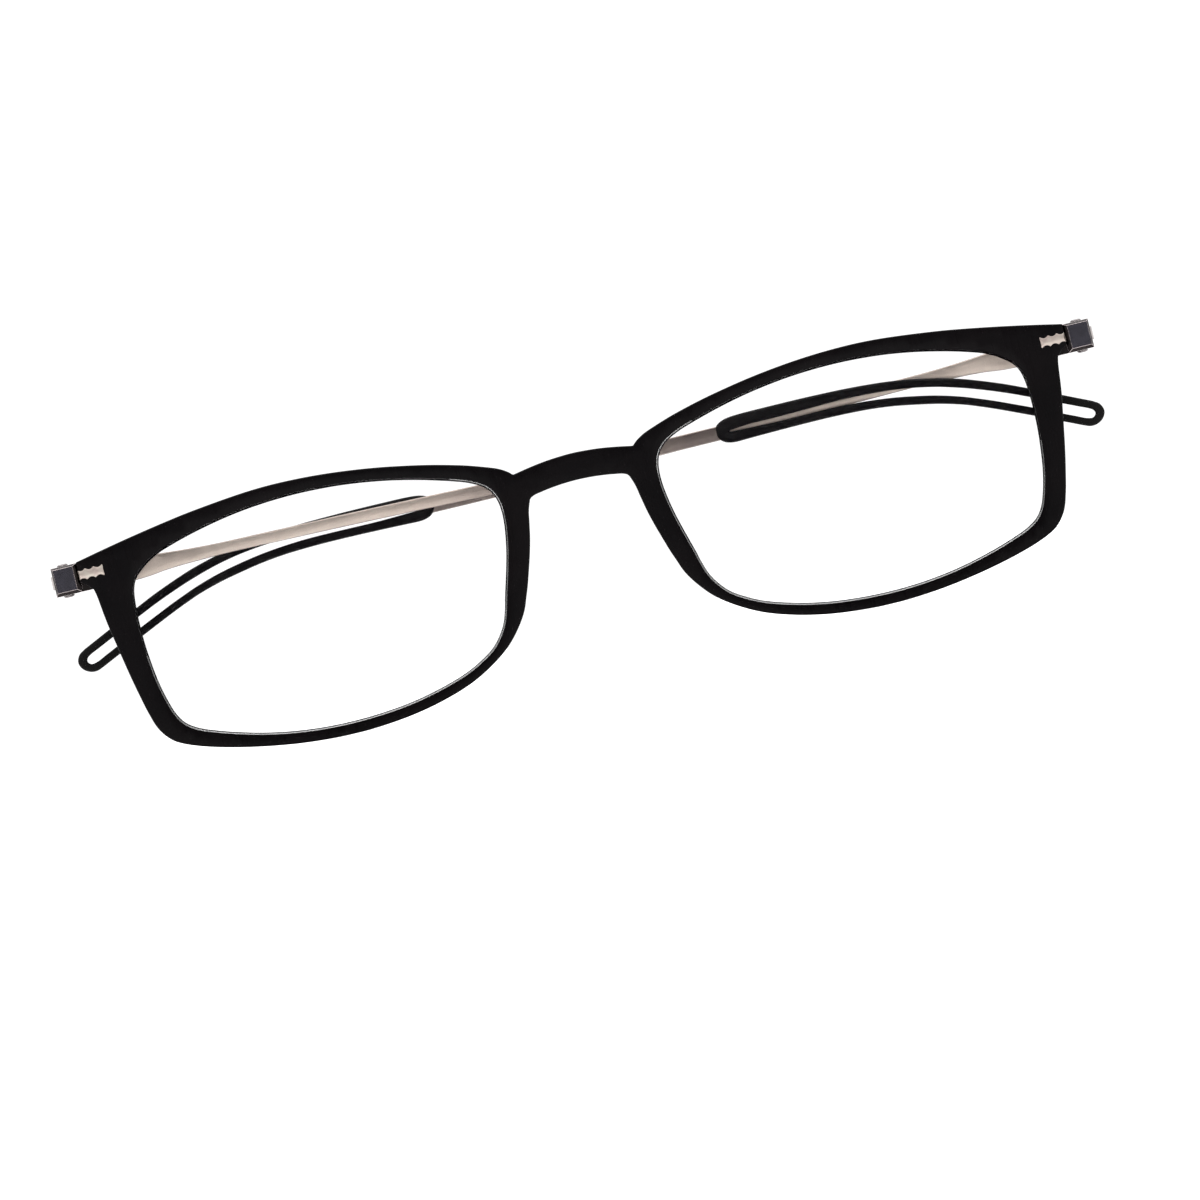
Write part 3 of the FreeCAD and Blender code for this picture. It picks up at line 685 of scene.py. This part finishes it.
def block(name):
    s = SIDE[name]
    y0 = 4.0 - MID
    z = lambda v: ZC + v
    # the wall: a bevelled face, wider bevels towards the lens and below
    bm = bmesh.new()
    rect = lambda x0, x1, a, b, y: [(s * x, y, z(v)) for x, v in ((x0, a), (x1, a), (x1, b), (x0, b))]
    hull(bm, rect(67.80, 70.48, -1.40, 1.76, y0) + rect(67.2, 70.7, -1.87, 2.05, y0 + 0.42)
         + rect(67.2, 70.7, -1.87, 2.05, y0 + 0.8))
    parts = [from_bm("w", bm)]
    yw, yb = y0 + 0.75, 8.3 - MID
    outline = [(67.2, yw), (70.7, yw), (70.7, yb - 1.2)] + \
        arc(69.5, yb - 1.2, 1.2, 0, 90, 8)[1:] + arc(68.4, yb - 1.2, 1.2, 90, 180, 8)
    outline = [(s * x, y) for x, y in outline]
    parts.append(prism("eu", outline, z(1.14), z(2.05)))
    parts.append(prism("el", outline, z(-1.87), z(-0.96)))
    foot = [(65.75, 4.7 - MID), (67.25, 4.7 - MID), (67.25, 6.6 - MID), (65.75, 6.6 - MID)]
    parts.append(prism("f", [(s * x, y) for x, y in foot], z(-1.87), z(1.0)))
    ob = united("hinge_housing_" + name, parts, 0.055)
    for p in ob.data.polygons:
        n = p.normal
        p.material_index = 0 if n.y < -0.95 and abs(p.center.x) > 0.0672 else 1
    ob.modifiers["soften"].material = 2
    dress(ob, M_BLOCK, "hinge_metal", M_BAND, M_LINE)
    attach(ob, "front")
    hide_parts("hinge_block_" + name)
    return ob


def keep(node, mat, soften=0.03, angle=35):
    """A CAD piece that stays, with its own finish and small softened edges."""
    ob = frame["nodes"][node]
    ob.data.materials.clear()
    ob.data.materials.append(mat)
    for p in ob.data.polygons:
        p.use_smooth = True
    if soften:
        bev = ob.modifiers.new("soften", "BEVEL")
        bev.width, bev.segments, bev.limit_method = soften * MM, 2, "ANGLE"
        bev.angle_limit = math.radians(angle)
        bev.harden_normals = True
    return ob


# ------------------------------------------------------------------ temples
def arm(name):
    s = SIDE[name]
    drop, g = DROP[name], GROW[name]
    low = lambda c: np.c_[s * c[:, 0] * (1 + g),
                          c[:, 1] + g * (c[:, 1] + 19.07) - drop * (67.0 - c[:, 0]) / 97.0]
    top, bot = dense(ARM_TOP, step=0.4), dense(ARM_LOW, step=0.4)
    tail = even(np.array([top[-1], bot[-1]]), 0.3)
    root = even(np.array([bot[0], top[0]]), 0.3)
    loop = turned(joined([(low(top), 0.1), (low(tail), 0.1), (low(bot[::-1]), 0.5), (low(root), 0.5)]))
    y = ARM_Y[name] - ARM_T / 2
    prof = rounded(0.15, 0.12, ARM_T, 3)
    # the rounded edge rings of the strip take the darker painted-shade edge metal
    ob = plate("arm_strip_" + name, [loop], [prof], lambda x, zz, d: (x, y + d, zz + ZC), 0.9,
               (), {0: {r: 1 for r in range(1, len(prof) - 2)}})
    dress(ob, M_ARM[name], "arm_metal", M_EDGE_SHADE)
    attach(ob, "temple_" + name)
    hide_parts("temple_arm_" + name)
    return ob


def tip(name):
    s = SIDE[name]
    drop, g = DROP[name], GROW[name]
    far = lambda c: np.c_[-s * c[:, 0] * (1 + g),
                          c[:, 1] + g * (c[:, 1] + 19.07) - drop * (67.0 + c[:, 0]) / 97.0]
    st = 0.2
    top, nose, bot = (dense(p, step=st) for p in (TIP_TOP, TIP_NOSE, TIP_LOW))
    back = even(np.array([bot[-1], top[0]]), 0.25)
    outer = turned(joined([(far(top), 0), (far(nose), 0), (far(bot), 0.25), (far(back), 0.25)]))
    slot = turned(far(dense(SLOT_TOP + SLOT_END[1:] + SLOT_LOW[1:] + SLOT_START[1:-1], True, 0.18)),
                  True)
    y = ARM_Y[name] - TIP_T / 2
    prof = rounded(0.42, 0.42, TIP_T, 6)
    inner = rounded(0.30, 0.30, TIP_T, 5)
    ob = plate("tip_loop_" + name, [outer, slot], [prof, inner],
               lambda x, zz, d: (x, y + d, zz + ZC), 0.5)
    dress(ob, M_TIP, "tip_rubber")
    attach(ob, "temple_" + name)
    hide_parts("temple_tip_" + name)
    return ob


front()
for side_name in ("left", "right"):
    lens(side_name)
    tongue(side_name)
    block(side_name)
    arm(side_name)
    tip(side_name)
    keep("hinge_pin_" + side_name, M_PIN, 0)
    keep("hinge_washer_upper_" + side_name, M_WASHER, 0.01)
    keep("hinge_washer_lower_" + side_name, M_WASHER, 0.01)
    keep("temple_knuckle_" + side_name, M_KNUCKLE, 0.06)
    keep("temple_rivet_inner_" + side_name, M_PIN, 0)
    keep("temple_rivet_outer_" + side_name, M_PIN, 0)

# ------------------------------------------------------------------ floor, light, camera
def floor():
    bm = bmesh.new()
    bmesh.ops.create_grid(bm, x_segments=8, y_segments=8, size=3.0)
    ob = from_bm("floor", bm)
    m, nt, b = material("floor_white")
    fine = noise(nt, coords(nt), 30, 3)
    nt.links.new(ramp(nt, fine, [(0.3, (0.90, 0.90, 0.90)), (0.7, (0.93, 0.93, 0.93))]),
                 b.inputs["Base Color"])
    b.inputs["Roughness"].default_value = 0.9
    b.inputs["Specular IOR Level"].default_value = 0.0
    ob.data.materials.append(m)
    return ob


def world():
    w = bpy.data.worlds.new("studio")
    bpy.context.scene.world = w
    w.use_nodes = True
    nt = w.node_tree
    nt.nodes.clear()
    out = nt.nodes.new("ShaderNodeOutputWorld")
    bg = nt.nodes.new("ShaderNodeBackground")
    nt.links.new(bg.outputs[0], out.inputs[0])
    tc = nt.nodes.new("ShaderNodeTexCoord")
    sep = nt.nodes.new("ShaderNodeSeparateXYZ")
    nt.links.new(tc.outputs["Generated"], sep.inputs[0])
    r = ramp(nt, ranged(nt, sep.outputs["Y"], 0, 1, -1.0, 1.0),
             [(0.0, (0.040, 0.037, 0.046)), (0.08, (0.055, 0.051, 0.062)), (0.26, (0.20, 0.19, 0.20)),
              (0.52, (0.42, 0.41, 0.41)), (0.70, (1.1, 1.1, 1.1))])
    top = ramp(nt, ranged(nt, sep.outputs["Z"], 0, 1, 0.25, 0.9),
               [(0.0, (0.0, 0.0, 0.0)), (1.0, (1.6, 1.6, 1.6))])
    mix = nt.nodes.new("ShaderNodeMix")
    mix.data_type, mix.blend_type = "RGBA", "ADD"
    mix.inputs["Factor"].default_value = 1.0
    mix.clamp_result = False
    nt.links.new(r, mix.inputs["A"])
    nt.links.new(top, mix.inputs["B"])
    # what is looked at directly, or through nothing but a lens, is the plain white backdrop
    path = nt.nodes.new("ShaderNodeLightPath")

    def calc(operation, a, b):
        n = nt.nodes.new("ShaderNodeMath")
        n.operation = operation
        for socket, value in zip(n.inputs, (a, b)):
            if isinstance(value, float):
                socket.default_value = value
            else:
                nt.links.new(value, socket)
        return n.outputs[0]

    bounced = calc("ADD", path.outputs["Diffuse Depth"], path.outputs["Glossy Depth"])
    through = calc("MULTIPLY", path.outputs["Is Transmission Ray"], calc("LESS_THAN", bounced, 0.5))
    seen = calc("MAXIMUM", path.outputs["Is Camera Ray"], through)
    back = nt.nodes.new("ShaderNodeMix")
    back.data_type = "RGBA"
    back.inputs["B"].default_value = (1.15, 1.15, 1.15, 1)
    nt.links.new(seen, back.inputs["Factor"])
    nt.links.new(mix.outputs["Result"], back.inputs["A"])
    nt.links.new(back.outputs["Result"], bg.inputs["Color"])
    bg.inputs["Strength"].default_value = 1.0


def area_light(name, loc, aim, size, power, color=(1, 1, 1)):
    d = bpy.data.lights.new(name, "AREA")
    d.shape = "RECTANGLE"
    d.size, d.size_y = size
    d.energy = power
    d.color = color
    o = bpy.data.objects.new(name, d)
    o.location = loc
    o.rotation_mode = "QUATERNION"
    o.rotation_quaternion = (Vector(aim) - Vector(loc)).to_track_quat("-Z", "Y")
    bpy.context.scene.collection.objects.link(o)
    return o


floor()
world()
area_light("key", (-0.35, -0.75, 0.75), (0, 0, 0.02), (0.9, 0.5), 3.2, (1.0, 0.985, 0.97))
area_light("fill", (0.75, -0.55, 0.35), (0, 0, 0.02), (0.5, 0.6), 1.2, (1.0, 0.97, 0.96))
area_light("over", (0, -0.2, 2.4), (0, -0.2, 0), (4.0, 4.0), 60.0)

cam_data = bpy.data.cameras.new("camera")
cam = bpy.data.objects.new("camera", cam_data)
bpy.context.scene.collection.objects.link(cam)
DIST = 1.6
cam_data.sensor_width = 36.0
cam_data.lens = 36.0 * DIST / (1200 / 7.55 * MM)
cam_data.clip_start, cam_data.clip_end = 0.05, 20.0
aim = Vector((-0.865 * MM, -1.0 * MM, (ZC - 19.042) * MM))
tilt = math.radians(13.596)
right = Vector((math.cos(tilt), 0, -math.sin(tilt)))
up = Vector((math.sin(tilt), 0, math.cos(tilt)))
back = Vector((0, -1, 0))
from mathutils import Matrix
rot = Matrix((right, up, back)).transposed()
cam.rotation_mode = "QUATERNION"
cam.rotation_quaternion = rot.to_quaternion()
cam.location = aim + back * DIST
bpy.context.scene.camera = cam

vs = bpy.context.scene.view_settings
vs.view_transform = "Standard"
vs.look = "None"
